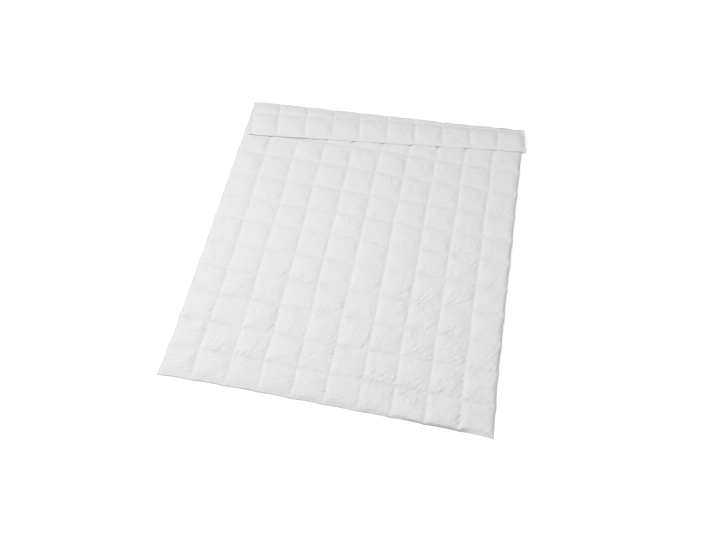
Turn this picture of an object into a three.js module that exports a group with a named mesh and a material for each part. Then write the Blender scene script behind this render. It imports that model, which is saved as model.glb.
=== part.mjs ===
// Box-stitched down duvet lying on a flat surface, its head end turned back over itself once.
// Millimetres. +X runs across the duvet, +Y towards the turned-back end, +Z up.
import * as THREE from "three";

// The duvet as sewn, laid out flat: u runs across it, v from the foot hem to the head hem.
const WIDTH = 1500;
const LENGTH = 2000;
const COLUMNS = 10;
const ROWS = 13;
const COLUMN_PITCH = WIDTH / COLUMNS;
const ROW_PITCH = LENGTH / ROWS;
const HEM_WIDTH = 10;
const SEAM_THICKNESS = 3;
const SEAM_HALF = SEAM_THICKNESS / 2;

// How the filled cells stand on the surface.
const SEAM_HEIGHT = 8.5;
const HEM_SAG = 3.5;
const SAG_REACH = 60;
const CROWN = 11;
const CROWN_POWER = 3;
const SHOULDER = 20;
const FULLNESS_VARIATION = 0.14;
const FULLNESS_STEP = { column: 2.4, row: 1.7 };

// The turn-back: where it starts at mid width, how far it runs off square, how tight it is.
const TURN_START = 1780;
const TURN_ANGLE = THREE.MathUtils.degToRad(3.75);
const TURN_RADIUS = 9.5;
const TURN_LENGTH = Math.PI * TURN_RADIUS;
const TURN_TAUTNESS = 0.5;
const TURN_FLATTENING = 0.6;
const TURN_ROW = 11;
const LEAD_STEPS = 2;
const TURN_STEPS = 6;
const AFTER_STEPS = 2;
const SEAM_CLEARANCE = 5;

// Loft where the two layers lie on each other: body under the flap, flap's lower and upper face,
// and how far past the turn the flap is pulled flat by it.
const PRESSED_CROWN = 7.5;
const PRESS_REACH = 40;
const FLAP_PAD = 5.5;
const FLAP_CROWN = 10.5;
const FLAP_REACH = 80;

// Unevenness of the spread duvet in plan.
const SEAM_WANDER = 2.5;
const WANDER_ALONG = 170;
const WANDER_ACROSS = 260;
const HEM_SCALLOP = 4;
const SCALLOP_REACH = 75;
const FOOT_SKEW = 13;
const FOOT_BOW = 5;
const CORNER_FLARE = 7;
const FOOT_REACH = 300;

const CLOTH_COLOUR = 0xe6e6e8;
const CLOTH_ROUGHNESS = 0.9;

const FOLD_ALONG = new THREE.Vector2(Math.cos(TURN_ANGLE), Math.sin(TURN_ANGLE));
const FOLD_NORMAL = new THREE.Vector2(-FOLD_ALONG.y, FOLD_ALONG.x);

const { clamp, lerp, smoothstep } = THREE.MathUtils;

// First and last stitch line of the cell that holds t, along one direction of the grid.
function cellSpan(t, pitch, total) {
  const index = clamp(Math.floor(t / pitch), 0, Math.round(total / pitch) - 1);
  const first = Math.max(index * pitch, HEM_WIDTH);
  const last = Math.min((index + 1) * pitch, total - HEM_WIDTH);
  return { index, first, last };
}

// 0 on a stitch line, 1 at the middle of the cell, rounded like a filled tube.
function crownShape(t, span) {
  const across = clamp((t - span.first) / (span.last - span.first), 0, 1);
  return 1 - Math.abs(2 * across - 1) ** CROWN_POWER;
}

// 0 on a stitch line, 1 from the shoulder inwards: a cell pressed flat.
function padShape(t, span) {
  return clamp(Math.min(t - span.first, span.last - t) / SHOULDER, 0, 1);
}

function cellAt(u, v) {
  const column = cellSpan(u, COLUMN_PITCH, WIDTH);
  const row = cellSpan(v, ROW_PITCH, LENGTH);
  const phase = FULLNESS_STEP.column * column.index + FULLNESS_STEP.row * row.index;
  return {
    crown: crownShape(u, column) * crownShape(v, row),
    pad: Math.min(padShape(u, column), padShape(v, row)),
    fullness: 1 + FULLNESS_VARIATION * Math.sin(phase),
  };
}

function turnStart(u) {
  return TURN_START + Math.tan(TURN_ANGLE) * (u - WIDTH / 2);
}

// Distance past the line where the cloth starts to turn, square to that line.
function pastTurn(u, v) {
  return (v - turnStart(u)) * FOLD_NORMAL.y;
}

function edgeDistance(u, v) {
  return Math.min(u, WIDTH - u, v, LENGTH - v);
}

// 1 on the body where the flap lies over it, 0 clear of the flap.
function underFlap(u, v) {
  const past = Math.min(pastTurn(u, v), 0);
  const flapV = v - past * FOLD_NORMAL.y + (TURN_LENGTH - past) * FOLD_NORMAL.y;
  return smoothstep(LENGTH - flapV, -PRESS_REACH, PRESS_REACH);
}

// Height of the upper cloth over the middle of the seams.
function topRise(u, v) {
  const cell = cellAt(u, v);
  const past = pastTurn(u, v);
  const inTurn = smoothstep(past, -PRESS_REACH, 0);
  const loft = lerp(CROWN * cell.fullness, PRESSED_CROWN, underFlap(u, v));
  return SEAM_HALF + lerp(loft * cell.crown, FLAP_PAD * cell.pad, inTurn);
}

function sagAt(u, v) {
  return HEM_SAG * (1 - smoothstep(edgeDistance(u, v), 0, SAG_REACH));
}

// Depth of the lower cloth under the middle of the seams: flat pads on the body, crowns on the flap.
function underRise(u, v) {
  const cell = cellAt(u, v);
  const past = pastTurn(u, v);
  const turned = clamp(past / TURN_LENGTH, 0, 1);
  const inner = smoothstep(edgeDistance(u, v), HEM_WIDTH, HEM_WIDTH + SHOULDER);
  const bent = Math.sin(Math.PI * turned);
  const shape = lerp(lerp(cell.pad, cell.crown, turned), 1, TURN_TAUTNESS * bent * inner);
  const resting = lerp(SEAM_HALF, SEAM_HEIGHT - sagAt(u, v), cell.pad);
  const settled = smoothstep(past, 0, TURN_LENGTH + FLAP_REACH);
  const loft = lerp(SEAM_HEIGHT - SEAM_HALF, FLAP_CROWN, settled);
  const standing = SEAM_HALF + loft * (1 - TURN_FLATTENING * bent) * shape;
  return lerp(resting, standing, Math.min(1, turned * TURN_STEPS));
}

// How far a cell draws its piece of hem in, at a distance from that hem.
function drawnIn(shape, distance) {
  return HEM_SCALLOP * shape * Math.max(0, 1 - distance / SCALLOP_REACH);
}

// Plan position of a flat-pattern point, as unevenly as the duvet was spread.
function planPoint(u, v) {
  const column = cellSpan(u, COLUMN_PITCH, WIDTH);
  const row = cellSpan(v, ROW_PITCH, LENGTH);
  const drawnX = drawnIn(crownShape(v, row), Math.min(u, WIDTH - u));
  const drawnY = drawnIn(crownShape(u, column), Math.min(v, LENGTH - v));
  const foot = 1 - smoothstep(v, 0, FOOT_REACH);
  const sideways = (2 * u) / WIDTH - 1;
  const footHem = FOOT_BOW * Math.sin((2 * Math.PI * u) / WIDTH) - FOOT_SKEW * (u / WIDTH) ** 2;
  const x = u + SEAM_WANDER * Math.sin(v / WANDER_ALONG + u / WANDER_ACROSS);
  const y = v + SEAM_WANDER * Math.sin(u / WANDER_ALONG - v / WANDER_ACROSS);
  return new THREE.Vector2(
    x - drawnX * Math.sign(sideways) + CORNER_FLARE * foot * sideways ** 3,
    y + drawnY * Math.sign(LENGTH / 2 - v) + footHem * foot,
  );
}

// A point of the upper (side 1) or lower (side -1) cloth, carried round the turn.
function clothPoint(u, v, side) {
  const past = Math.max(0, pastTurn(u, v));
  const angle = Math.min(past / TURN_RADIUS, Math.PI);
  const lying = Math.max(0, past - TURN_LENGTH);
  const rise = side > 0 ? topRise(u, v) : -underRise(u, v);
  const reach = (TURN_RADIUS - rise) * Math.sin(angle) - lying - past;
  const plan = planPoint(u, v).addScaledVector(FOLD_NORMAL, reach);
  const sag = sagAt(u, v) * Math.abs(Math.cos(angle));
  const height = SEAM_HEIGHT + TURN_RADIUS - (TURN_RADIUS - rise) * Math.cos(angle) - sag;
  return new THREE.Vector3(plan.x, plan.y, height);
}

function cellLines(first, last) {
  return [first + SHOULDER, (first + last) / 2, last - SHOULDER, last];
}

function acrossLines() {
  const lines = [0, HEM_WIDTH];
  for (let column = 0; column < COLUMNS; column++) {
    const span = cellSpan((column + 0.5) * COLUMN_PITCH, COLUMN_PITCH, WIDTH);
    lines.push(...cellLines(span.first, span.last));
  }
  lines.push(WIDTH);
  return lines;
}

function evenSteps(from, to, steps) {
  return Array.from({ length: steps }, (_, step) => lerp(from, to, (step + 1) / steps));
}

// Lines along the duvet at one u. In the turned row they follow the turn instead of the seams.
function alongLines(u) {
  const lines = [0, HEM_WIDTH];
  for (let row = 0; row < TURN_ROW; row++) {
    const span = cellSpan((row + 0.5) * ROW_PITCH, ROW_PITCH, LENGTH);
    lines.push(...cellLines(span.first, span.last));
  }
  const start = turnStart(u);
  const end = start + TURN_LENGTH / FOLD_NORMAL.y;
  const rowEnd = Math.max((TURN_ROW + 1) * ROW_PITCH, end + SEAM_CLEARANCE);
  lines.push(...evenSteps(TURN_ROW * ROW_PITCH, start, LEAD_STEPS));
  lines.push(...evenSteps(start, end, TURN_STEPS));
  lines.push(...evenSteps(end, rowEnd, AFTER_STEPS));
  lines.push(...cellLines(rowEnd, LENGTH - HEM_WIDTH), LENGTH);
  return lines;
}

// Two cloths over one grid of lines, joined along the hem into a closed body.
function duvetGeometry() {
  const us = acrossLines();
  const grid = us.map((u) => alongLines(u).map((v) => ({ u, v })));
  const rowLength = grid[0].length;
  const sheetSize = us.length * rowLength;
  const points = [];
  for (const side of [1, -1]) {
    for (const line of grid) {
      for (const { u, v } of line) {
        points.push(clothPoint(u, v, side));
      }
    }
  }
  const at = (i, j, side) => i * rowLength + j + (side > 0 ? 0 : sheetSize);
  const faces = [];
  const quad = (a, b, c, d) => faces.push(a, b, c, a, c, d);
  for (let i = 0; i + 1 < us.length; i++) {
    for (let j = 0; j + 1 < rowLength; j++) {
      for (const side of [1, -1]) {
        const rise = side > 0 ? topRise : underRise;
        const height = (p, q) => rise(grid[i + p][j + q].u, grid[i + p][j + q].v);
        const corners = [at(i, j, side), at(i + 1, j, side), at(i + 1, j + 1, side), at(i, j + 1, side)];
        if (height(0, 0) + height(1, 1) < height(1, 0) + height(0, 1)) {
          corners.push(corners.shift());
        }
        if (side < 0) {
          corners.reverse();
          corners.unshift(corners.pop());
        }
        quad(...corners);
      }
    }
  }
  const lastI = us.length - 1;
  const lastJ = rowLength - 1;
  for (let i = 0; i < lastI; i++) {
    quad(at(i, 0, -1), at(i + 1, 0, -1), at(i + 1, 0, 1), at(i, 0, 1));
    quad(at(i + 1, lastJ, -1), at(i, lastJ, -1), at(i, lastJ, 1), at(i + 1, lastJ, 1));
  }
  for (let j = 0; j < lastJ; j++) {
    quad(at(0, j + 1, -1), at(0, j, -1), at(0, j, 1), at(0, j + 1, 1));
    quad(at(lastI, j, -1), at(lastI, j + 1, -1), at(lastI, j + 1, 1), at(lastI, j, 1));
  }
  const geometry = new THREE.BufferGeometry().setFromPoints(points);
  geometry.setIndex(faces);
  geometry.computeBoundingBox();
  const middle = geometry.boundingBox.getCenter(new THREE.Vector3());
  geometry.translate(-middle.x, -middle.y, -geometry.boundingBox.min.z);
  geometry.computeVertexNormals();
  return geometry;
}

const duvet = new THREE.Mesh(
  duvetGeometry(),
  new THREE.MeshStandardMaterial({ color: CLOTH_COLOUR, roughness: CLOTH_ROUGHNESS, metalness: 0 }),
);
duvet.name = "duvet";

const part = new THREE.Group();
part.add(duvet);
export default part;
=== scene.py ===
# %% [markdown]
# # A box-stitched down duvet
# Two white cotton cloths are sewn together along a grid of seams and filled with down, and the
# duvet lies spread out with its head end turned back once. The CAD part gives the size and the
# place of everything; this script makes the soft surface that the solid can only hint at.

import math

import bpy
import numpy as np
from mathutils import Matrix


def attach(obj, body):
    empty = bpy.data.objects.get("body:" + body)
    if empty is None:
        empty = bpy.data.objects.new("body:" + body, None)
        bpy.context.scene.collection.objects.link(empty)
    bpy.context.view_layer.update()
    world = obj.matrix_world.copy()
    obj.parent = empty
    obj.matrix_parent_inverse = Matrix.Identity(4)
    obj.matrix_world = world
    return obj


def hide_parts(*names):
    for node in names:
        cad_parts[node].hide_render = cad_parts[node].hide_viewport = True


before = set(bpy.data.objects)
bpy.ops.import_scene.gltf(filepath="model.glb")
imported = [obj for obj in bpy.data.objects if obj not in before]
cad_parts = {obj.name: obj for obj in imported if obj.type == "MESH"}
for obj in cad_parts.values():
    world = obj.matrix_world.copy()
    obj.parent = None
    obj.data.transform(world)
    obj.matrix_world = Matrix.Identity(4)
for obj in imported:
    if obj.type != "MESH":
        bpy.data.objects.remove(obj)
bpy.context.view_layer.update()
bpy.ops.object.select_all(action="DESELECT")

# %% [markdown]
# ## The duvet as it is sewn
# Soft goods are easiest to think of flat, as they leave the sewing table: u runs across the
# duvet and v along it, from the foot hem to the head hem. Everything that happens later, the
# filling, the spreading and the turn-back, moves points of this flat pattern. So the pattern is a
# grid of points, and each later step works out a number or a place for every one of them at once.

# %% Sizes of the flat pattern, in metres
WIDTH, LENGTH = 1.500, 2.000
COLUMNS, ROWS = 10, 13
COLUMN_PITCH, ROW_PITCH = WIDTH / COLUMNS, LENGTH / ROWS
HEM_WIDTH = 0.010
STEPS = 12  # steps of the grid to a cell


def grid_lines(pitch, count):
    """Where the grid's lines run over `count` cells; the outermost step at each end is the hem."""
    lines = np.arange(count * STEPS + 1) / STEPS * pitch
    edge_cell = HEM_WIDTH + (pitch - HEM_WIDTH) * np.arange(STEPS) / (STEPS - 1)
    lines[1 : STEPS + 1] = edge_cell
    lines[-STEPS - 1 : -1] = count * pitch - edge_cell[::-1]
    return lines


U, V = np.meshgrid(grid_lines(COLUMN_PITCH, COLUMNS), grid_lines(ROW_PITCH, ROWS))
print("grid", U.shape, "cells of", round(COLUMN_PITCH, 4), "by", round(ROW_PITCH, 4), "m")

# %% [markdown]
# ## How it was spread out
# Nobody lays a duvet down perfectly square: seam crossings wander by a few millimetres, some row
# seams lie a little off their even place, each cell draws its piece of hem in, and the foot corners
# were pulled out. The crossings get a seeded random shift, so that every run gives the same duvet.
# The rest is read from the photograph and written as smooth steps across and along the pattern.

# %% Helpers on the pattern
CROWN_POWER = 3
TINY = 1e-6


def smoothstep(x, low, high):
    """0 below `low`, 1 above `high`, and a smooth rise between them."""
    t = np.clip((x - low) / (high - low), 0, 1)
    return t * t * (3 - 2 * t)


def plateau(x, start, full, leaving, end):
    """1 from `full` to `leaving`, with a smooth rise from `start` and a smooth fall to `end`."""
    return smoothstep(x, start, full) * (1 - smoothstep(x, leaving, end))


def mix(a, b, share):
    """a where the share is 0, b where it is 1."""
    return a + (b - a) * share


def within_cell(t, pitch, count):
    """Index of the cell that holds t, and 0 to 1 across it between its stitch lines."""
    index = np.clip(np.floor(t / pitch + TINY), 0, count - 1)
    first = np.maximum(index * pitch, HEM_WIDTH)
    last = np.minimum((index + 1) * pitch, count * pitch - HEM_WIDTH)
    return index.astype(int), np.clip((t - first) / (last - first), 0, 1)


def crown(t):
    """0 on the stitch lines, 1 in the middle of the cell."""
    return 1 - np.abs(2 * t - 1) ** CROWN_POWER


# %% Let the seam crossings wander
SEAM_WANDER, WANDER_SEED = 0.0024, 11
HEM_WANDER = 0.3  # share of it that a crossing on the hem keeps

column, across = within_cell(U, COLUMN_PITCH, COLUMNS)
row, along = within_cell(V, ROW_PITCH, ROWS)
rng = np.random.default_rng(WANDER_SEED)
shift = rng.normal(0, SEAM_WANDER, (ROWS + 1, COLUMNS + 1, 2))
shift[[0, -1]] *= HEM_WANDER
shift[:, [0, -1]] *= HEM_WANDER
share_u = (U / COLUMN_PITCH - column)[..., None]
share_v = (V / ROW_PITCH - row)[..., None]
wander = mix(
    mix(shift[row, column], shift[row, column + 1], share_u),
    mix(shift[row + 1, column], shift[row + 1, column + 1], share_u),
    share_v,
)
spread_x, spread_y = U + wander[..., 0], V + wander[..., 1]
print("seam crossings wander up to", round(float(np.abs(shift).max()) * 1000, 1), "mm")

# %% Draw the hems in and pull the corners out
HEM_SCALLOP, SCALLOP_REACH = 0.003, 0.075
FOOT_SKEW, FOOT_BOW, FOOT_REACH = 0.013, 0.001, 0.300
CORNER_FLARE, CORNER_DROP = 0.007, 0.005
LEFT_PULL, RIGHT_PULL, PULL_REACH = 0.003, 0.003, 0.200

sideways = 2 * U / WIDTH - 1  # -1 at the left hem, 1 at the right one
near_side = np.clip(1 - np.minimum(U, WIDTH - U) / SCALLOP_REACH, 0, 1)
near_end = np.clip(1 - np.minimum(V, LENGTH - V) / SCALLOP_REACH, 0, 1)
spread_x -= HEM_SCALLOP * crown(along) * near_side * np.sign(sideways)
spread_y += HEM_SCALLOP * crown(across) * near_end * np.sign(LENGTH / 2 - V)

foot = 1 - smoothstep(V, 0, FOOT_REACH)
foot_hem = FOOT_BOW * np.sin(2 * np.pi * U / WIDTH) - FOOT_SKEW * (U / WIDTH) ** 2
foot_hem -= CORNER_DROP * sideways**4
spread_x += CORNER_FLARE * foot * sideways**3
spread_y += foot_hem * foot
spread_x += RIGHT_PULL * smoothstep(U, WIDTH - PULL_REACH, WIDTH)
spread_x -= LEFT_PULL * (1 - smoothstep(U, 0, PULL_REACH))
print("foot hem runs", round(float(np.ptp(foot_hem)) * 1000, 1), "mm off square")

# %% Let whole seams drift, and flare the fold at its right end
COLUMN_DRIFT, COLUMN_DRIFT_REACH = 0.0018, 1.20
# how far each row seam lies off its even place, in millimetres, from the foot hem on: the first
# list holds all the way across, the second sets in between the two places named after it
ROW_DRIFT = [0, 0, 0, 0, 1, 4, 7, -6, -5, -2, -1, 0, 0, 0]
FOOT_ROW_DRIFT = [0, -7, -7, -5, 0, 0, 0, 0, 0, 0, 0, 0, 0, 0]
FOOT_DRIFT_ACROSS = (0.35, 0.60)
FOLD_ALONG = (1.60, 1.75, 1.85, 1.98)
FOLD_FLARE, FLARE_ACROSS = 0.009, (1.15, 1.48)
FOLD_CORNER, CORNER_ACROSS = 0.005, (1.44, 1.50)

row_seams = ROW_PITCH * np.arange(ROWS + 1)
row_drift = np.interp(V, row_seams, ROW_DRIFT)
row_drift += np.interp(V, row_seams, FOOT_ROW_DRIFT) * smoothstep(U, *FOOT_DRIFT_ACROSS)
spread_x -= COLUMN_DRIFT * np.sin(np.pi * np.minimum(U / COLUMN_DRIFT_REACH, 1)) ** 2
spread_y += row_drift / 1000
flare = FOLD_FLARE * smoothstep(U, *FLARE_ACROSS) + FOLD_CORNER * smoothstep(U, *CORNER_ACROSS)
spread_y += flare * plateau(V, *FOLD_ALONG)
print("row seams drift up to", round(float(np.abs(row_drift).max()), 1), "mm")

# %% [markdown]
# At the right and along the right half of the foot the filled cells bulge out over their own hem,
# which is what makes those two edges look thick and dark. So the cloth just inside the hem is
# pushed outwards further than the hem's edge itself, most where the cells are full.

# %% Let the filling bulge over the hem
RIGHT_BULGE, FOOT_BULGE = 0.011, 0.013
#        from the hem's edge, share of the bulge
BULGE = [(0.000, 0.00), (0.010, 0.60), (0.020, 0.85), (0.040, 1.00), (0.140, 0.00)]
# the foot bulges by this share all over its right half, and fully only in one stretch of it
FOOT_EVENLY, FOOT_EVENLY_ACROSS = 0.4, (0.30, 0.70)
FOOT_FULLEST_ACROSS = (1.00, 1.15, 1.34, 1.42)
SIDE_AT_FOOT, SIDE_ALONG = 0.6, (0.2, 0.8)
SIDE_ON_FLAP, FLAP_ALONG = 0.25, (1.78, 1.84)


def bulge(from_hem):
    """0 to 1: how much of the outward push a point gets at this distance from the hem's edge."""
    return np.interp(from_hem, *zip(*BULGE))


full_foot = FOOT_EVENLY * smoothstep(U, *FOOT_EVENLY_ACROSS)
full_foot += (1 - FOOT_EVENLY) * plateau(U, *FOOT_FULLEST_ACROSS)
full_side = mix(SIDE_AT_FOOT, 1, smoothstep(V, *SIDE_ALONG))
full_side *= mix(1, SIDE_ON_FLAP, smoothstep(V, *FLAP_ALONG))
spread_x += RIGHT_BULGE * full_side * bulge(WIDTH - U)
spread_y -= FOOT_BULGE * full_foot * bulge(V)
print("plan", np.round([np.ptp(spread_x), np.ptp(spread_y)], 4), "m before the turn-back")

# %% [markdown]
# ## Filling the cells
# Down pushes the cloth out between the seams. That is just what a cloth simulation with pressure
# does, so one flat sheet is pinned along its seams and hem, given a little more cloth than the
# seams' spacing needs, and blown up without gravity. The spreading moves its points afterwards.

# %% Make the flat sheet and pin its seams
START_RISE = 0.005

bpy.ops.mesh.primitive_grid_add(x_subdivisions=COLUMNS * STEPS, y_subdivisions=ROWS * STEPS, size=1)
sheet = bpy.context.object
pillow = np.sin(np.pi * across) * np.sin(np.pi * along)
start = np.stack([U, V, START_RISE * pillow], axis=-1)
sheet.data.vertices.foreach_set("co", start.ravel())

on_seam = (np.minimum(across, 1 - across) < TINY) | (np.minimum(along, 1 - along) < TINY)
pins = sheet.vertex_groups.new(name="seams")
pins.add([int(k) for k in np.flatnonzero(on_seam)], 1.0, "REPLACE")
print(int(on_seam.sum()), "of", on_seam.size, "points are held by stitching")

# %% Blow the cells up
SLACK = 0.012
PRESSURE = 60
BENDING = 2.0
SIM_QUALITY, SIM_FRAMES = 5, 20

cloth = sheet.modifiers.new("filling", "CLOTH")
cloth.settings.quality = SIM_QUALITY
cloth.settings.bending_stiffness = BENDING
cloth.settings.shrink_min = -SLACK
cloth.settings.use_pressure = True
cloth.settings.uniform_pressure_force = PRESSURE
cloth.settings.vertex_group_mass = pins.name
cloth.settings.effector_weights.gravity = 0
cloth.collision_settings.use_collision = False
cloth.collision_settings.use_self_collision = False
for step in range(1, SIM_FRAMES + 1):
    bpy.context.scene.frame_set(step)
bpy.ops.object.convert(target="MESH")
bpy.context.scene.frame_set(1)

# %% Read the blown-up sheet and spread it out
NEAR_TOP = 98  # per cent: the height of the fullest places, without the odd peak

simulated = np.empty(U.size * 3, np.float32)
sheet.data.vertices.foreach_get("co", simulated)
simulated = simulated.reshape(*U.shape, 3).astype(float)
simulated[..., 0] += spread_x - U
simulated[..., 1] += spread_y - V
bpy.ops.object.delete()
blown = float(np.percentile(simulated[..., 2], NEAR_TOP))
print("cells blown up to", round(blown * 1000, 1), "mm over their seams")

# %% [markdown]
# ## A finer cloth
# The simulated sheet has a point every centimetre or so. Creases are narrower than that, so points
# are put between the old ones, on smooth curves through them, before anything small is added.

# %% Halve the spacing of the grid
def refined(values):
    """Values on a grid of half the spacing, along a smooth curve through the old ones."""
    for axis in (0, 1):
        old = np.moveaxis(values, axis, 0)
        wide = np.concatenate([2 * old[:1] - old[1:2], old, 2 * old[-1:] - old[-2:-1]])
        new = np.empty((2 * len(old) - 1, *old.shape[1:]))
        new[::2] = old
        new[1::2] = (9 * (old[:-1] + old[1:]) - wide[:-3] - wide[3:]) / 16
        values = np.moveaxis(new, 0, axis)
    return values


U, V, simulated, full_foot = refined(U), refined(V), refined(simulated), refined(full_foot)
column, across = within_cell(U, COLUMN_PITCH, COLUMNS)
row, along = within_cell(V, ROW_PITCH, ROWS)
plan = simulated[..., :2]
edge = np.minimum(np.minimum(U, WIDTH - U), np.minimum(V, LENGTH - V))
print("fine grid", U.shape)

# %% [markdown]
# ## How full the cells are
# The down packs against the cloth, so the tops of the cells are flatter than a blown-up sheet, and
# some cells hold more than others. Right beside the stitches the cloth springs up, along the row
# seams it sinks in softly, and over the bulging hems it stands steeper. The simulated height, as a
# share of the full one, is bent by a curve that does all this.

# %% Loft over the seams
CROWN = 0.0088
TOP_FLATNESS, ROW_STEEPNESS, LEAN = 1.4, -0.3, 0.12
SHOULDER_UNEVENNESS, SHOULDER_SIZE, SHOULDER_SEED = 0.22, 0.055, 3
HEM_STEEPNESS, HEM_STEEP_REACH = 1.5, (0.020, 0.080)
FULLNESS_VARIATION, COLUMN_STEP, ROW_STEP = 0.14, 2.4, 1.7
ROW_SINK, ROW_SINK_REACH = 0.35, 0.024
SPRING_RISE, SPRING_REACH, SPRING_LEAN, ROW_SPRING = 0.0020, 0.006, 0.6, 0.6
SIZE_RANGE = (0.7, 1.4)  # shortest and longest lump of an uneven field, as shares of its size


def uneven(seed, size, waves=24):
    """A smooth random field over the pattern, of unit strength, its lumps about `size` long."""
    rng = np.random.default_rng(seed)
    field = np.zeros_like(U)
    for _ in range(waves):
        turn, phase = rng.uniform(0, 2 * np.pi, 2)
        wave = 2 * np.pi / (size * rng.uniform(*SIZE_RANGE))
        field += np.cos(wave * (U * np.cos(turn) + V * np.sin(turn)) + phase)
    return field * np.sqrt(2 / waves)


from_column = COLUMN_PITCH * np.minimum(across, 1 - across)
from_row = ROW_PITCH * np.minimum(along, 1 - along)
from_seam = np.minimum(from_column, from_row)
near_row = from_column / (from_column + from_row + TINY)
leftward = (1 - 2 * across) * (1 - near_row)  # 1 at a cell's left seam, -1 at its right one
share = np.clip(simulated[..., 2] / blown, 0, 1)
steepness = TOP_FLATNESS * (1 + ROW_STEEPNESS * near_row)
steepness *= np.exp(SHOULDER_UNEVENNESS * uneven(SHOULDER_SEED, SHOULDER_SIZE) + LEAN * leftward)
from_bulge = np.minimum(WIDTH - U, V / (full_foot + TINY))
steepness *= 1 + HEM_STEEPNESS * (1 - smoothstep(from_bulge, *HEM_STEEP_REACH))
fullness = 1 + FULLNESS_VARIATION * np.sin(COLUMN_STEP * column + ROW_STEP * row)
loft = CROWN * fullness * (1 - (1 - share) ** steepness)
loft *= 1 - ROW_SINK * np.exp(-((from_row / ROW_SINK_REACH) ** 2))
spring = SPRING_RISE * (1 + SPRING_LEAN * leftward) * (1 + ROW_SPRING * near_row)
loft += spring * (1 - np.exp(-from_seam / SPRING_REACH))
print("cells stand", round(float(np.percentile(loft, NEAR_TOP)) * 1000, 1), "mm over their seams")

# %% [markdown]
# Down lies in lumps, and used cotton is never quite smooth: it is crinkled in patches, more towards
# the foot and less at the left. The edge cells hold less down than the others.

# %% Lumps, crinkles and thin edges
LUMP_HEIGHT, LUMP_SIZE, LUMP_SEED = 0.0005, 0.075, 4
CRINKLE_HEIGHT, CRINKLE_SIZE, CRINKLE_SEED, CRINKLE_WAVES = 0.00058, 0.025, 6, 40
PATCHINESS, PATCH_LENGTH, PATCH_SEED, PATCH_LIMITS = 0.5, 0.25, 7, (0.4, 1.5)
FOOT_CRINKLES, FOOT_CRINKLES_ALONG = 1.6, (0.2, 0.9)
LEFT_CRINKLES, LEFT_CRINKLES_ACROSS = 0.6, (0.2, 0.5)
LEFT_THINNESS, LEFT_THIN_REACH = 0.45, 0.120
RIGHT_THINNESS, RIGHT_THIN_REACH = 0.30, 0.050
FOOT_THINNESS, FOOT_THIN_REACH = 0.25, 0.120

loft += LUMP_HEIGHT * uneven(LUMP_SEED, LUMP_SIZE) * share
patchy = np.clip(1 + PATCHINESS * uneven(PATCH_SEED, PATCH_LENGTH), *PATCH_LIMITS)
patchy *= mix(FOOT_CRINKLES, 1, smoothstep(V, *FOOT_CRINKLES_ALONG))
patchy *= mix(LEFT_CRINKLES, 1, smoothstep(U, *LEFT_CRINKLES_ACROSS))
crinkles = np.tanh(uneven(CRINKLE_SEED, CRINKLE_SIZE, CRINKLE_WAVES))
loft += CRINKLE_HEIGHT * patchy * crinkles * share
thin_foot = FOOT_THINNESS * (1 - full_foot)
loft *= 1 - LEFT_THINNESS * (1 - smoothstep(U, 0, LEFT_THIN_REACH))
loft *= 1 - RIGHT_THINNESS * (1 - smoothstep(WIDTH - U, 0, RIGHT_THIN_REACH))
loft *= 1 - thin_foot * (1 - smoothstep(V, 0, FOOT_THIN_REACH))
print("crinkles up to", round(float((CRINKLE_HEIGHT * patchy).max()) * 1000, 2), "mm")

# %% [markdown]
# ## Creases
# Pulling the duvet straight by its corners left slanting creases, most of them in the lower right
# cells and along the left hem. Each is one to three small folds side by side, which fan out along
# their length and fade at both ends. The main ones are placed one by one, as they lie in the
# photograph.

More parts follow.
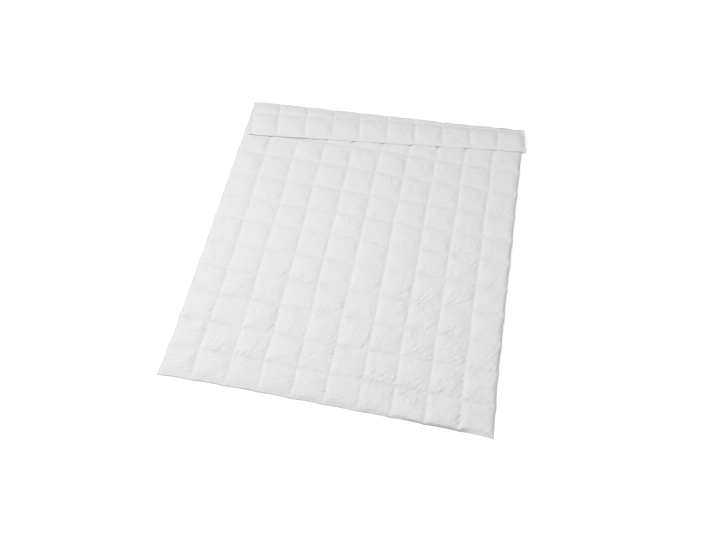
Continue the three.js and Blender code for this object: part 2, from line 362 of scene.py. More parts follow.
# %% Main creases, in millimetres and degrees
#    across, along, angle, length, height, folds side by side
CREASES = [
    (1120, 103, -42, 165, 8.5, 2),
    (1245, 170, 38, 80, 8.0, 1),
    (1330, 236, 32, 54, 8.0, 3),
    (1300, 340, 38, 115, 7.5, 3),
    (1253, 300, 10, 60, 6.5, 1),
    (1155, 160, 45, 42, 7.0, 3),
    (1270, 45, -40, 95, 7.0, 2),
    (1310, 30, 60, 50, 4.5, 2),
    (1433, 388, 55, 75, 4.0, 2),
    (1455, 428, 75, 60, 4.0, 2),
    (1432, 95, -50, 70, 6.0, 1),
    (1420, 165, 70, 40, 4.5, 1),
    (1243, 648, 46, 84, 7.5, 2),
    (1290, 650, 26, 100, 6.5, 1),
    (1265, 603, 3, 120, 6.0, 1),
    (1118, 640, 48, 50, 7.0, 3),
    (1115, 560, 82, 55, 6.5, 3),
    (1108, 478, -72, 55, 6.5, 2),
    (1165, 440, 72, 46, 6.0, 2),
    (1265, 498, 52, 50, 5.5, 2),
    (996, 645, 42, 80, 8.0, 2),
    (1018, 600, -40, 42, 7.0, 2),
    (985, 520, 28, 72, 7.0, 2),
    (979, 417, -58, 46, 7.0, 1),
    (1000, 466, 3, 42, 4.5, 2),
    (993, 790, 42, 62, 8.0, 2),
    (965, 164, 12, 70, 4.5, 2),
    (838, 132, -36, 56, 7.5, 2),
    (884, 450, -75, 50, 5.5, 2),
    (708, 642, 50, 55, 7.0, 3),
    (712, 486, 48, 72, 7.5, 2),
    (637, 478, 95, 46, 7.0, 1),
    (714, 327, 60, 40, 7.0, 2),
    (745, 600, -60, 40, 6.0, 2),
    (514, 124, -28, 125, 7.0, 2),
    (415, 630, 50, 46, 7.5, 3),
    (408, 542, 32, 60, 7.5, 2),
    (433, 430, 80, 36, 7.5, 2),
    (418, 312, 70, 32, 6.5, 2),
    (580, 605, 100, 46, 7.0, 2),
    (278, 465, -74, 65, 7.0, 2),
    (317, 165, 62, 45, 6.0, 2),
    (190, 150, -8, 90, 4.5, 1),
    (275, 130, -50, 46, 6.0, 2),
    (105, 52, 22, 60, 5.5, 2),
    (60, 895, -50, 90, 7.0, 3),
    (30, 745, -62, 70, 7.0, 2),
    (25, 1205, -65, 55, 7.0, 2),
    (125, 1063, -52, 65, 7.0, 2),
    (118, 1330, -48, 60, 7.0, 2),
    (30, 490, -70, 50, 6.5, 2),
    (570, 1020, -72, 95, 6.5, 2),
    (575, 1240, -75, 56, 6.0, 2),
    (722, 895, -62, 50, 7.0, 3),
    (425, 1085, -60, 50, 5.5, 2),
    (275, 1440, -70, 60, 5.5, 2),
    (862, 1345, -50, 50, 6.0, 3),
    (948, 1305, -45, 60, 6.0, 2),
    (1155, 1345, -50, 50, 6.0, 2),
    (1165, 980, -60, 60, 6.5, 2),
    (1260, 850, -52, 65, 7.0, 2),
    (1323, 880, 60, 60, 6.5, 2),
    (1320, 1013, -65, 55, 6.5, 2),
    (1398, 1010, -85, 85, 6.5, 3),
    (1432, 1030, 40, 60, 6.5, 2),
    (1480, 1185, -62, 75, 7.5, 2),
    (1325, 1180, -60, 50, 6.5, 2),
    (1405, 1255, 75, 40, 7.0, 3),
    (1385, 1413, 60, 40, 6.0, 2),
]
print(len(CREASES), "main creases")

# %% Fold them into a height field
CREASE_APART, CREASE_SPREAD, CREASE_LEAN = 0.020, 0.36, 0.3
CREASE_FAN, FAN_LIMITS, FADE_POWER = 0.5, (0.6, 1.5), 2.5
PHASE_SWING, PHASE_STEP = 0.9, 7.0
BOW_SWING, BOW_STEP = 3.0, 2.3


def add_crease(field, u, v, angle, length, height, folds, phase=0.0, bow=0.0):
    """Adds folds running side by side to a height field; they fan out along their length."""
    reach = max(length, 2 * CREASE_APART * folds)
    rows = slice(*np.searchsorted(V[:, 0], (v - reach, v + reach)))
    columns = slice(*np.searchsorted(U[0], (u - reach, u + reach)))
    du, dv, turn = U[rows, columns] - u, V[rows, columns] - v, math.radians(angle)
    run = du * math.cos(turn) + dv * math.sin(turn)
    off = dv * math.cos(turn) - du * math.sin(turn) - bow * run**2
    off = off / (CREASE_APART * np.clip(1 + CREASE_FAN * run / length, *FAN_LIMITS))
    at_ends = np.abs(2 * run / length) ** FADE_POWER
    fade = np.exp(-at_ends - 0.5 * (off / (CREASE_SPREAD * folds)) ** 2)
    wave = 2 * np.pi * off + phase
    field[rows, columns] += 0.5 * height * fade * np.sin(wave + CREASE_LEAN * np.sin(wave))


creases = np.zeros_like(U)
for k, (u, v, angle, length, height, folds) in enumerate(CREASES):
    lit_side = 0 if angle > 0 else np.pi
    phase = lit_side + PHASE_SWING * math.sin(PHASE_STEP * k)
    bow = BOW_SWING * math.sin(BOW_STEP * k)
    add_crease(creases, u / 1000, v / 1000, angle, length / 1000, height / 1000, folds, phase, bow)
print("creases rise up to", round(float(creases.max()) * 1000, 1), "mm")

# %% [markdown]
# Between them run many small puckers, where the seams gather the cloth: mostly at the right end of
# a cell, close to a row seam, more of them towards the foot and the right, and most of all in a
# patch right of the middle. They come in groups of two to four. These are scattered with a seeded
# generator, since only their size, slant and number matter.

# %% How many groups of puckers a cell has
CALM_COLUMNS = range(1, 4)
FEW_GROUPS, SOME_GROUPS, LOW_RIGHT_GROUPS, BUSY_GROUPS = 0.7, 1.3, 4.5, 4.5
BUSY_COLUMN, BUSY_COLUMNS = 6.5, 2.0
BUSY_ROW, BUSY_ROWS = 3.0, 1.7


def expected_groups(c, r):
    """How many groups of puckers the cell in column c and row r has on average."""
    expected = FEW_GROUPS if c in CALM_COLUMNS else SOME_GROUPS
    expected += LOW_RIGHT_GROUPS * (c / COLUMNS) * (1 - r / ROWS)
    off_column, off_row = (c - BUSY_COLUMN) / BUSY_COLUMNS, (r - BUSY_ROW) / BUSY_ROWS
    return expected + BUSY_GROUPS * math.exp(-(off_column**2) - off_row**2)


busiest = max(expected_groups(c, r) for r in range(ROWS) for c in range(COLUMNS))
print("the busiest cell has", round(busiest, 1), "groups of puckers on average")

# %% Scatter the puckers
PUCKER_SEED = 5
TO_THE_RIGHT = (2.2, 1.2)  # the two powers of a beta distribution across the cell
AT_SEAM_SHARE, ABOVE_SEAM_SHARE, SLANT_SHARE = 0.65, 0.65, 0.7
IN_CELL = (0.2, 0.9)
SLANT, CROSS_SLANT, SLANT_SCATTER = (44, 10), (108, 12), 8
GROUP_SIZE = (2, 5)
PUCKER_APART, APART_RANGE = 0.017, (0.8, 1.3)
PUCKER_LENGTH, PUCKER_HEIGHT, PHASE_SCATTER = (0.028, 0.070), (0.0019, 0.0047), 0.8
OFF_SEAM = 0.4  # share of its length by which a pucker's middle lies off the seam

scatter = np.random.default_rng(PUCKER_SEED)
puckers = np.zeros_like(U)


def pucker_group(c, r):
    """Adds one group of puckers side by side to a cell and returns how many it has."""
    u = (c + scatter.beta(*TO_THE_RIGHT)) * COLUMN_PITCH
    at_seam = c < CALM_COLUMNS.stop or scatter.random() < AT_SEAM_SHARE
    v = (r + (0 if at_seam else scatter.uniform(*IN_CELL))) * ROW_PITCH
    above = 1 if scatter.random() < ABOVE_SEAM_SHARE else -1
    slant = scatter.normal(*(SLANT if scatter.random() < SLANT_SHARE else CROSS_SLANT))
    members = scatter.integers(*GROUP_SIZE)
    for k in range(members):
        angle = slant + scatter.normal(0, SLANT_SCATTER)
        length = scatter.uniform(*PUCKER_LENGTH)
        height = scatter.uniform(*PUCKER_HEIGHT)
        start_u = u + (k - 1) * PUCKER_APART * scatter.uniform(*APART_RANGE)
        middle_u = start_u + above * OFF_SEAM * length * math.cos(math.radians(angle))
        middle_v = v + above * OFF_SEAM * length * math.sin(math.radians(angle))
        phase = scatter.normal(0, PHASE_SCATTER)
        add_crease(puckers, middle_u, middle_v, angle, length, height, 1, phase)
    return members


count = 0
for r in range(ROWS):
    for c in range(COLUMNS):
        for _ in range(scatter.poisson(expected_groups(c, r))):
            count += pucker_group(c, r)
print(count, "puckers")

# %% Ripples on the flap, and wrinkles kept off the stitching
FLAP_RIPPLES = 34
RIPPLE_ACROSS, RIPPLE_ALONG, RIPPLE_SLANT = (0.15, 1.45), (1.86, 1.98), 7
RIPPLE_LENGTH, RIPPLE_HEIGHT, RIPPLE_PHASE = (0.05, 0.11), (0.0015, 0.0035), (0, 6)
SMOOTH_HEM, WRINKLED_FROM = 0.003, 0.025
AT_STITCHES, STITCH_REACH = 0.3, 0.016
DEEPEST = 0.85  # share of the loft that a wrinkle may take away

for _ in range(FLAP_RIPPLES):
    u, v = scatter.uniform(*RIPPLE_ACROSS), scatter.uniform(*RIPPLE_ALONG)
    length, height = scatter.uniform(*RIPPLE_LENGTH), scatter.uniform(*RIPPLE_HEIGHT)
    slant, phase = scatter.normal(0, RIPPLE_SLANT), scatter.uniform(*RIPPLE_PHASE)
    add_crease(puckers, u, v, slant, length, height, 1, phase)
wrinkled = (creases + puckers) * smoothstep(edge, SMOOTH_HEM, WRINKLED_FROM)
wrinkled *= mix(AT_STITCHES, 1, smoothstep(from_seam, 0, STITCH_REACH))
wrinkled = np.maximum(wrinkled, -DEEPEST * loft)
print("wrinkles rise up to", round(float(wrinkled.max()) * 1000, 1), "mm")

# %% [markdown]
# ## Upper and lower cloth
# The lower cloth is the same sheet, mirrored. On the surface it is pressed flat, and so is what
# the flap lies on. Where the duvet turns, the outer cloth is pulled taut. Each of these is a limit
# on how far a point may stand off the seams, blended along the pattern. At the hems, where little
# down holds it up, the whole duvet sags towards the surface.

# %% Where the turn is, and how far the hems sag
TURN_START, TURN_ANGLE, TURN_RADIUS = 1.7837, math.radians(3.75), 0.0085
TURN_LENGTH = math.pi * TURN_RADIUS
LEFT_SAG, RIGHT_SAG, FOOT_SAG, HEAD_SAG = 0.0005, 0.0060, 0.0060, 0.0025
SOFT_REACH, STEEP_REACH = 0.060, 0.014
LEAST_SAG = 0.5  # share of the sag between full cells, and where the foot isn't full
HEAD_ALONG = (1.55, 1.75)

normal = np.array([-math.sin(TURN_ANGLE), math.cos(TURN_ANGLE)])
past = (V - TURN_START - math.tan(TURN_ANGLE) * (U - WIDTH / 2)) * normal[1]
turned = np.clip(past / TURN_LENGTH, 0, 1)
bent = np.sin(np.pi * turned)

head = smoothstep(V, *HEAD_ALONG)
right_sag = RIGHT_SAG * mix(LEAST_SAG, 1, crown(along))
foot_sag = FOOT_SAG * mix(LEAST_SAG, 1, full_foot)
foot_reach = mix(SOFT_REACH, STEEP_REACH, full_foot)
sag = LEFT_SAG * (1 - smoothstep(U, 0, SOFT_REACH))
sag = np.maximum(sag, right_sag * (1 - smoothstep(WIDTH - U, 0, STEEP_REACH)))
sag = np.maximum(sag, foot_sag * (1 - smoothstep(V, 0, foot_reach))) * (1 - head)
sag = np.maximum(sag, HEAD_SAG * (1 - smoothstep(edge, 0, SOFT_REACH)) * head)
print("hems sag up to", round(float(sag.max()) * 1000, 1), "mm")

# %% How far each cloth stands off the seams
SEAM_HEIGHT = 0.0085
SEAM_HALF, HEM_THINNESS = 0.0015, 0.45
PRESS_FIRMNESS, BODY_FIRMNESS = 2.0, 1.0
PRESSED_RISE, PRESS_REACH, PRESS_INSIDE = 0.0075, 0.050, 0.0125
FLAP_PAD, FLAP_REACH = 0.0055, 0.120
TURN_TAUTNESS, TURN_FLATTENING, LIFT_SHARE = 0.2, 0.25, 1 / 6
BODY_ONLY = -0.4  # metres before the turn, where no flap lies


def pressed(rise, limit, firmness=PRESS_FIRMNESS):
    """A rise flattened against something `limit` away."""
    return limit * np.tanh(firmness * rise / limit)


# the place on the pattern that lies over each point of the body once the end is turned back
on_body = np.minimum(past, 0)
flap_v = V - on_body * normal[1] + (TURN_LENGTH - on_body) * normal[1]
under_flap = smoothstep(LENGTH - flap_v, -PRESS_REACH, PRESS_INSIDE)
half = SEAM_HALF * mix(HEM_THINNESS, 1, smoothstep(edge, 0, HEM_WIDTH))

upper = mix(loft + wrinkled, pressed(loft, PRESSED_RISE, BODY_FIRMNESS), under_flap)
upper = half + mix(upper, pressed(loft, FLAP_PAD), smoothstep(past, -PRESS_REACH, 0))

resting = pressed(loft, SEAM_HEIGHT - half - sag)
standing = mix(resting, loft + wrinkled, smoothstep(past, 0, TURN_LENGTH + FLAP_REACH))
taut = TURN_TAUTNESS * bent * smoothstep(edge, HEM_WIDTH, 3 * HEM_WIDTH)
standing = mix(standing, SEAM_HEIGHT - half, taut) * (1 - TURN_FLATTENING * bent)
lower = half + mix(resting, standing, np.clip(turned / LIFT_SHARE, 0, 1))
print("loft", round(float((upper + lower)[past < BODY_ONLY].max()) * 1000, 1), "mm")

# %% [markdown]
# ## Turning the end back
# The turn-back is a half turn about a line that runs a few degrees off square, and cloth doesn't
# stretch round it: a point keeps its distance along the pattern and only its direction changes.
# So every point is carried round a cylinder and on, flat, over the body. Next to the turn the
# flap's top slopes down into the roll, and its own hem droops on to the body, least at its left
# end, where the photograph shows the widest gap under it.

# %% Carry both cloths round the turn
#        across, droop of the flap's hem
DROOP = [
    (0.00, 0.0016),
    (0.15, 0.0046),
    (0.55, 0.0052),
    (0.70, 0.0044),
    (0.95, 0.0044),
    (1.50, 0.0058),
]
DROOP_REACH = 0.090
ROLL_DROP_LEFT, ROLL_DROP_RIGHT, ROLL_REACH = 0.008, 0.014, 0.080
PATTERN_ORIGIN = np.array([0.75546, 0.91554, 0.0])  # the CAD frame's origin on the pattern

droop = np.interp(U, *zip(*DROOP)) * smoothstep(V, LENGTH - DROOP_REACH, LENGTH)
roll_drop = mix(ROLL_DROP_LEFT, ROLL_DROP_RIGHT, U / WIDTH)
roll_drop = roll_drop * (1 - smoothstep(past, TURN_LENGTH, ROLL_REACH))


def turn_back(side):
    """Places of the upper (side 1) or lower (side -1) cloth in the CAD frame, in metres."""
    rise = upper if side > 0 else -lower
    forward = np.maximum(past, 0)
    angle = np.minimum(forward / TURN_RADIUS, math.pi)
    lying = np.maximum(forward - TURN_LENGTH, 0)
    reach = (TURN_RADIUS - rise) * np.sin(angle) - lying - forward
    height = SEAM_HEIGHT + TURN_RADIUS - (TURN_RADIUS - rise) * np.cos(angle)
    height = height - sag * np.abs(np.cos(angle)) - droop
    if side < 0:
        height = height - roll_drop * np.maximum(-np.cos(angle), 0)
    placed = plan + reach[..., None] * normal
    return np.concatenate([placed, height[..., None]], axis=-1) - PATTERN_ORIGIN


top_cloth, under_cloth = turn_back(1), turn_back(-1)
print("box", under_cloth.min(axis=(0, 1)).round(4), under_cloth.max(axis=(0, 1)).round(4))

# %% [markdown]
# ## One closed cover
# A sheet this fine is quicker to write as a mesh than to model: squares over the upper cloth,
# squares over the lower one, and faces round the hem that join them. The lower cloth of the body
# lies on the floor out of sight, so only every sixth line of it is kept.

# %% Faces of both cloths and of the hem
HIDDEN_STEP = 6
SEEN_BEFORE_TURN = 0.03
lines, width = U.shape
seen_from = int(np.argmax((past > -SEEN_BEFORE_TURN).any(axis=1)))
kept = sorted({1, 2, *range(0, seen_from, HIDDEN_STEP), *range(seen_from, lines)})
top_id = np.arange(lines * width).reshape(lines, width)
under_id = top_id[: len(kept)] + lines * width


def squares(ids):
    """Corner numbers of the squares between the lines of a grid."""
    corners = [ids[:-1, :-1], ids[:-1, 1:], ids[1:, 1:], ids[1:, :-1]]
    return np.stack(corners, axis=-1).reshape(-1, 4)


faces = squares(top_id).tolist() + squares(under_id)[:, ::-1].tolist()
for k, (first, last) in enumerate(zip(kept[:-1], kept[1:])):
    faces.append([*top_id[first : last + 1, 0], under_id[k + 1, 0], under_id[k, 0]])
    faces.append([*top_id[first : last + 1, -1][::-1], under_id[k, -1], under_id[k + 1, -1]])
for i in range(width - 1):
    faces.append([top_id[0, i + 1], top_id[0, i], under_id[0, i], under_id[0, i + 1]])
    faces.append([top_id[-1, i], top_id[-1, i + 1], under_id[-1, i + 1], under_id[-1, i]])
points = np.concatenate([top_cloth.reshape(-1, 3), under_cloth[kept].reshape(-1, 3)])
pattern = np.stack([U, V], axis=-1)
pattern = np.concatenate([pattern.reshape(-1, 2), pattern[kept].reshape(-1, 2)])
print(len(points), "points,", len(faces), "faces")

# %% Make the cover from them
mesh = bpy.data.meshes.new("duvet_cover")
mesh.from_pydata(points.tolist(), [], [[int(k) for k in face] for face in faces])
duvet = bpy.data.objects.new("duvet_cover", mesh)
bpy.context.collection.objects.link(duvet)
corner_point = np.empty(len(mesh.loops), np.int32)
mesh.loops.foreach_get("vertex_index", corner_point)
sewing_plan = mesh.uv_layers.new(name="sewing_plan")
sewing_plan.data.foreach_set("uv", pattern[corner_point].astype(np.float32).ravel())
bpy.ops.object.select_all(action="DESELECT")
duvet.select_set(True)
bpy.context.view_layer.objects.active = duvet
bpy.ops.object.shade_smooth()
print("valid", not mesh.validate())

# %% [markdown]
# ## Stitching
# Every seam is a line of lockstitches, and so is the hem. A stitch is a short length of thread that
# comes up out of the cloth and dives back into it, so each is one stretched grain with six points,
# laid end to end along the lines of the grid where they show. Its root lies deep in the cloth, so
# that smooth shading sees the grain's sides and not its underside.

# %% Shape of a stitch
STITCH_SHARE = 0.86
THREAD_RISE, THREAD_SINK, THREAD_HALF, THREAD_DEPTH = 0.00045, 0.0003, 0.00045, 0.0012


def outward(cloth, side):
    """Unit normals of a cloth's grid of points."""
    normals = side * np.cross(np.gradient(cloth, axis=1), np.gradient(cloth, axis=0))
    return normals / np.linalg.norm(normals, axis=-1, keepdims=True)


def stitched(line, normals):
    """Points of the stitches along a line of the cloth, two to a step of the grid: (count, 6, 3)."""
    ends = np.empty((2 * len(line) - 1, 3))
    ends[::2], ends[1::2] = line, (line[:-1] + line[1:]) / 2
    up = np.repeat((normals[:-1] + normals[1:]) / 2, 2, axis=0)
    middle, reach = (ends[:-1] + ends[1:]) / 2, (ends[1:] - ends[:-1]) * STITCH_SHARE / 2
    beside = np.cross(up, reach)
    beside *= THREAD_HALF / np.linalg.norm(beside, axis=-1, keepdims=True)
    dip = middle - THREAD_SINK * up
    crest, root = middle + THREAD_RISE * up, middle - THREAD_DEPTH * up
    return np.stack([dip - reach, dip + reach, crest, middle + beside, root, middle - beside], 1)


print("stitches are", round(STITCH_SHARE * COLUMN_PITCH / STEPS / 4 * 1000, 2), "mm long")

# %% Lay stitches along the seams that show
HEM_LINES = [2, -3]  # lines of the fine grid where the hem ends
COVERED_EDGE = 0.02
SHOWN_OF_TURN = 0.3  # share of the turn below which the lower cloth's stitches don't show

across_lines = HEM_LINES + [2 * STEPS * c for c in range(1, COLUMNS)]
along_lines = HEM_LINES + [2 * STEPS * r for r in range(1, ROWS)]
shown = {1: flap_v > LENGTH - COVERED_EDGE, -1: past > SHOWN_OF_TURN * TURN_LENGTH}
grains = []
for side, cloth_points in ((1, top_cloth), (-1, under_cloth)):
    normals = outward(cloth_points, side)
    inside = shown[side].copy()  # but nothing outside the hem's own line of stitches
    inside[[0, 1, -2, -1]] = inside[:, [0, 1, -2, -1]] = False
    for i in across_lines:
        grains.append(stitched(cloth_points[inside[:, i], i], normals[inside[:, i], i]))
    for j in along_lines:
        if inside[j].sum() > 1:
            grains.append(stitched(cloth_points[j, inside[j]], normals[j, inside[j]]))
grains = np.concatenate(grains)
print(len(grains), "stitches")

# %% Make one piece of all stitches
NEAR_END = [(0, 2, 3), (0, 3, 4), (0, 4, 5), (0, 5, 2)]
FAR_END = [(1, 3, 2), (1, 4, 3), (1, 5, 4), (1, 2, 5)]

first_point = grains.shape[1] * np.arange(len(grains))[:, None, None]
grain_faces = (first_point + np.array(NEAR_END + FAR_END)).reshape(-1, 3)
thread_mesh = bpy.data.meshes.new("seam_stitches")
thread_mesh.from_pydata(grains.reshape(-1, 3).tolist(), [], grain_faces.tolist())
stitches = bpy.data.objects.new("seam_stitches", thread_mesh)
bpy.context.collection.objects.link(stitches)
bpy.ops.object.select_all(action="DESELECT")
stitches.select_set(True)
bpy.context.view_layer.objects.active = stitches
bpy.ops.object.shade_smooth()
print("stitch faces", len(thread_mesh.polygons))

# %% [markdown]
# ## Cotton
# A down-proof cotton cambric is woven so close that no down comes through: it looks plain and matt,
# with a faint sheen and a fine weave. Soft slanting crumples lie on it in patches, stronger towards
# the foot; they are finer than the mesh, so they are a bump, and so is the weave. All of it follows
# the sewing plan, a UV map in metres, so that it turns with the cloth at the fold.

# %% Colours and nodes
def linear(hex_colour):
    """An sRGB hex colour as linear RGBA."""
    parts = [int(hex_colour[k : k + 2], 16) / 255 for k in (1, 3, 5)]
    return [c / 12.92 if c <= 0.04045 else ((c + 0.055) / 1.055) ** 2.4 for c in parts] + [1.0]


def add_node(tree, kind, inputs, **settings):
    """Adds a node with settings; each input is given a value, or the socket to link it from."""
    made = tree.nodes.new(kind)
    for name, value in settings.items():
        setattr(made, name, value)
    for name, value in inputs.items():
        if isinstance(value, bpy.types.NodeSocket):
            tree.links.new(value, made.inputs[name])
        else:
            made.inputs[name].default_value = value
    return made


def new_material(name, **values):
    """A material and its main shader, with constant values on the shader's sockets."""
    material = bpy.data.materials.new(name)
    material.use_nodes = True
    shader = material.node_tree.nodes["Principled BSDF"]
    for socket, value in values.items():
        shader.inputs[socket.replace("_", " ")].default_value = value
    return material, shader


def wave_scale(pitch):
    """Scale of a wave texture whose bands lie `pitch` metres apart."""
    return 2 * math.pi / 20 / pitch


# %% Cotton cambric and its weave
# Plain weave of fine threads: matt, with hardly any shine and a breath of sheen at low angles.
COTTON_FINISH = {"Roughness": 0.9, "Specular_IOR_Level": 0.25, "Sheen_Weight": 0.1}
THREAD_PITCH, WEAVE_DEPTH = 0.0004, 0.00003

cotton, shader = new_material("woven_cotton_cambric", **COTTON_FINISH)
tree = cotton.node_tree
plan_place = add_node(tree, "ShaderNodeUVMap", {}, uv_map="sewing_plan").outputs["UV"]
thread_place = {"Vector": plan_place, "Scale": wave_scale(THREAD_PITCH)}
warp = add_node(tree, "ShaderNodeTexWave", thread_place, bands_direction="X").outputs["Fac"]
weft = add_node(tree, "ShaderNodeTexWave", thread_place, bands_direction="Y").outputs["Fac"]
woven = add_node(tree, "ShaderNodeMath", {0: warp, 1: weft}, operation="MULTIPLY").outputs[0]
weave = add_node(tree, "ShaderNodeBump", {"Height": woven, "Distance": WEAVE_DEPTH})
print("weave of", THREAD_PITCH * 1000, "mm threads")

# %% Crumples, in patches and stronger towards the foot
CRUMPLE_DEPTH, CRUMPLE_SLANT = 0.0022, math.radians(45)
CRUMPLE_SIZE, PATCH_SIZE = (0.026, 0.014, 1.0), 0.110
CRUMPLE_LOOK = {"Scale": 1.0, "Detail": 0.8, "Distortion": 0.5}
PATCHES_TO_STRENGTH = {"From Min": 0.40, "From Max": 0.62, "To Min": 0.4, "To Max": 1.7}
ALONG_TO_STRENGTH = {"From Min": 0.3, "From Max": 1.0, "To Min": 1.8, "To Max": 1.0}

slanting = add_node(
    tree,
    "ShaderNodeMapping",
    {"Vector": plan_place, "Rotation": (0, 0, CRUMPLE_SLANT), "Scale": CRUMPLE_SIZE},
    vector_type="TEXTURE",
).outputs["Vector"]
folds = add_node(tree, "ShaderNodeTexNoise", {"Vector": slanting, **CRUMPLE_LOOK}).outputs["Fac"]
patches = add_node(
    tree, "ShaderNodeTexNoise", {"Vector": plan_place, "Scale": 1 / PATCH_SIZE, "Detail": 1.0}
).outputs["Fac"]
busy = add_node(
    tree, "ShaderNodeMapRange", {"Value": patches, **PATCHES_TO_STRENGTH}
).outputs["Result"]
along_plan = add_node(tree, "ShaderNodeSeparateXYZ", {"Vector": plan_place}).outputs["Y"]
lower_end = add_node(
    tree, "ShaderNodeMapRange", {"Value": along_plan, **ALONG_TO_STRENGTH}
).outputs["Result"]
strength = add_node(
    tree, "ShaderNodeMath", {0: lower_end, 1: busy}, operation="MULTIPLY"
).outputs[0]
crumple = add_node(tree, "ShaderNodeMath", {0: folds, 1: strength}, operation="MULTIPLY").outputs[0]
crumpled = add_node(
    tree,
    "ShaderNodeBump",
    {"Height": crumple, "Distance": CRUMPLE_DEPTH, "Normal": weave.outputs["Normal"]},
)
tree.links.new(crumpled.outputs["Normal"], shader.inputs["Normal"])
print("crumples of", CRUMPLE_SIZE[0] * 1000, "by", CRUMPLE_SIZE[1] * 1000, "mm")

# %% [markdown]
# The white is not quite one white: it is a trace cooler here and warmer there. Along the row seams
# the stitches pull the cloth into a crease as narrow as a needle, less than a step of the mesh, so
# the crease's shade is painted into the colour: a soft grey line, strongest near the foot.

# %% The cotton's white, and the painted shade in the row seams
# the third colour is painted shade: the grey of the shadow in the row seams' narrow crease
COOL_WHITE, WARM_WHITE, SEAM_PAINTED_SHADE = "#e0e0e2", "#e0e0df", "#c8c8c9"
TINT_SIZE = 0.200
GROOVE_TO_PAINTED_SHADE = {"From Min": 0.0, "From Max": 0.018, "To Min": 0.105, "To Max": 0.0}
ALONG_TO_PAINTED_SHADE = {"From Min": 0.6, "From Max": 1.0, "To Min": 1.0, "To Max": 0.3}

tint = add_node(
    tree, "ShaderNodeTexNoise", {"Vector": plan_place, "Scale": 1 / TINT_SIZE, "Detail": 3.0}
).outputs["Fac"]
white = add_node(
    tree,
    "ShaderNodeMix",
    {"Factor": tint, "A": linear(COOL_WHITE), "B": linear(WARM_WHITE)},
    data_type="RGBA",
).outputs[2]
from_row_seam = add_node(
    tree, "ShaderNodeMath", {0: along_plan, 1: ROW_PITCH / 2}, operation="PINGPONG"
).outputs[0]
groove = add_node(
    tree,
    "ShaderNodeMapRange",
    {"Value": from_row_seam, **GROOVE_TO_PAINTED_SHADE},
    interpolation_type="SMOOTHSTEP",
).outputs["Result"]
painted_shade_along = add_node(
    tree, "ShaderNodeMapRange", {"Value": along_plan, **ALONG_TO_PAINTED_SHADE}
).outputs["Result"]
painted_shade_in_groove = add_node(
    tree, "ShaderNodeMath", {0: groove, 1: painted_shade_along}, operation="MULTIPLY"
).outputs[0]
# painted shade along the row seams, in patches and strongest near the foot, mixed into the white
painted_shade = add_node(tree, "ShaderNodeMath", {0: painted_shade_in_groove, 1: busy}, operation="MULTIPLY").outputs[0]
white_with_painted_shade = add_node(
    tree, "ShaderNodeMix", {"Factor": painted_shade, "A": white, "B": linear(SEAM_PAINTED_SHADE)}, data_type="RGBA"
).outputs[2]
tree.links.new(white_with_painted_shade, shader.inputs["Base Color"])
duvet.data.materials.append(cotton)
print(cotton.name, "has", len(tree.nodes), "nodes")

# %% [markdown]
# ## Sewing thread
# The seams are sewn with spun polyester: the same white as the cloth and a little brighter, with
# the soft gloss of a twisted thread. Its plies are drawn as slanting waves on the thread's mesh.

# %% Sewing thread
# Twisted from fine smooth fibres: brighter and glossier than the matt cloth that it lies on.
THREAD_WHITE, PLY_PITCH, PLY_DEPTH = "#ebebeb", 0.0006, 0.0001
THREAD_FINISH = {"Roughness": 0.6, "Specular_IOR_Level": 0.4, "Sheen_Weight": 0.2}

thread, shader = new_material(
    "polyester_sewing_thread", Base_Color=linear(THREAD_WHITE), **THREAD_FINISH
)
tree = thread.node_tree
place = add_node(tree, "ShaderNodeTexCoord", {}).outputs["Object"]
ply = add_node(
    tree,
    "ShaderNodeTexWave",
    {"Vector": place, "Scale": wave_scale(PLY_PITCH)},
    bands_direction="DIAGONAL",
).outputs["Fac"]
twist = add_node(tree, "ShaderNodeBump", {"Height": ply, "Distance": PLY_DEPTH})
tree.links.new(twist.outputs["Normal"], shader.inputs["Normal"])
stitches.data.materials.append(thread)
print(thread.name, "has", len(tree.nodes), "nodes")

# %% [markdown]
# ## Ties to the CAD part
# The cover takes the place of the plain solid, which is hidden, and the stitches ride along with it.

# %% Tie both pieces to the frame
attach(duvet, "root")
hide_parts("duvet")
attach(stitches, "root")

# %% [markdown]
# ## Studio
# The cells' shading tells where the light is: it comes from straight above at mid length and from
# the left everywhere. So a long strip of light hangs over the duvet and runs on to its left, with a
# soft box further out, in an even white surround. The floor is white paper. It glows a little, more
# with its distance, so that it stays white all over and only a faint shadow is left at the hems, and
# it throws no light back on to the cloth.

# %% Floor
FLOOR_SIZE, FLOOR_DROP = 40, 0.0005
AWAY_TO_GLOW = {"From Min": 0.6, "From Max": 1.6, "To Min": 0.05, "To Max": 0.4}
# Uncoated paper: white and quite without shine.
PAPER_FINISH = {"Roughness": 1.0, "Specular_IOR_Level": 0.0, "Emission_Color": (1, 1, 1, 1)}

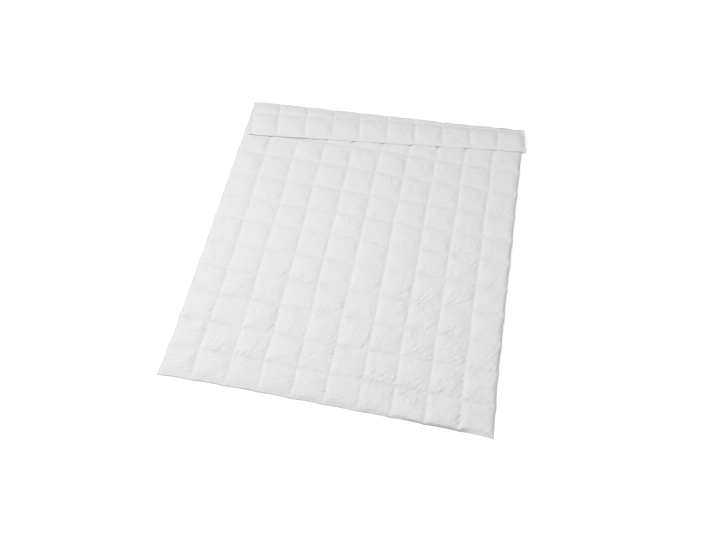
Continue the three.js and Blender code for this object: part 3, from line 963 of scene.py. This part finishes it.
bpy.ops.mesh.primitive_plane_add(size=FLOOR_SIZE, location=(0, 0, -FLOOR_DROP))
floor = bpy.context.object
floor.name = "floor"
paper, shader = new_material("white_paper", Base_Color=linear("#ffffff"), **PAPER_FINISH)
tree = paper.node_tree
place = add_node(tree, "ShaderNodeTexCoord", {}).outputs["Object"]
away = add_node(tree, "ShaderNodeVectorMath", {0: place}, operation="LENGTH").outputs["Value"]
glow = add_node(tree, "ShaderNodeMapRange", {"Value": away, **AWAY_TO_GLOW})
tree.links.new(glow.outputs["Result"], shader.inputs["Emission Strength"])
floor.data.materials.append(paper)
floor.visible_diffuse = False
print("floor of", FLOOR_SIZE, "m")

# %% Light
SURROUND = 0.445
STRIP_LENGTH, STRIP_WIDTH, STRIP_POWER = 9.7, 0.6, 148
STRIP_RIGHT_END, STRIP_ALONG, STRIP_HEIGHT = 2.2, -0.36, 3.7
BOX_PLACE, BOX_TILT, BOX_SIZE, BOX_POWER = (-7.0, -0.6, 6.0), math.radians(-49), 2.4, 125

world = bpy.data.worlds.new("studio")
bpy.context.scene.world = world
world.use_nodes = True
world.node_tree.nodes["Background"].inputs["Color"].default_value = (1, 1, 1, 1)
world.node_tree.nodes["Background"].inputs["Strength"].default_value = SURROUND

strip_place = (STRIP_RIGHT_END - STRIP_LENGTH / 2, STRIP_ALONG, STRIP_HEIGHT)
bpy.ops.object.light_add(type="AREA", location=strip_place)
strip = bpy.context.object
strip.data.shape = "RECTANGLE"
strip.data.size, strip.data.size_y = STRIP_LENGTH, STRIP_WIDTH
strip.data.energy = STRIP_POWER
bpy.ops.object.light_add(type="AREA", location=BOX_PLACE, rotation=(0, BOX_TILT, 0))
box = bpy.context.object
box.data.size = BOX_SIZE
box.data.energy = BOX_POWER
print("strip light at", [round(x, 2) for x in strip_place])

# %% [markdown]
# ## Camera
# Its place was worked out from where the seam crossings lie in the photograph: it looks down on the
# duvet from beyond the foot, a little from the right.

# %% Camera
CAMERA_PLACE = (0.3379, -2.6882, 3.5915)
CAMERA_TURN = (35.218, -2.141, 10.349)  # degrees about x, y and z
CAMERA_LENS = 45.16

bpy.ops.object.camera_add(
    location=CAMERA_PLACE, rotation=[math.radians(angle) for angle in CAMERA_TURN]
)
camera = bpy.context.object
camera.data.lens = CAMERA_LENS
bpy.context.scene.camera = camera
bpy.context.scene.view_settings.view_transform = "Standard"
print("camera at", CAMERA_PLACE)
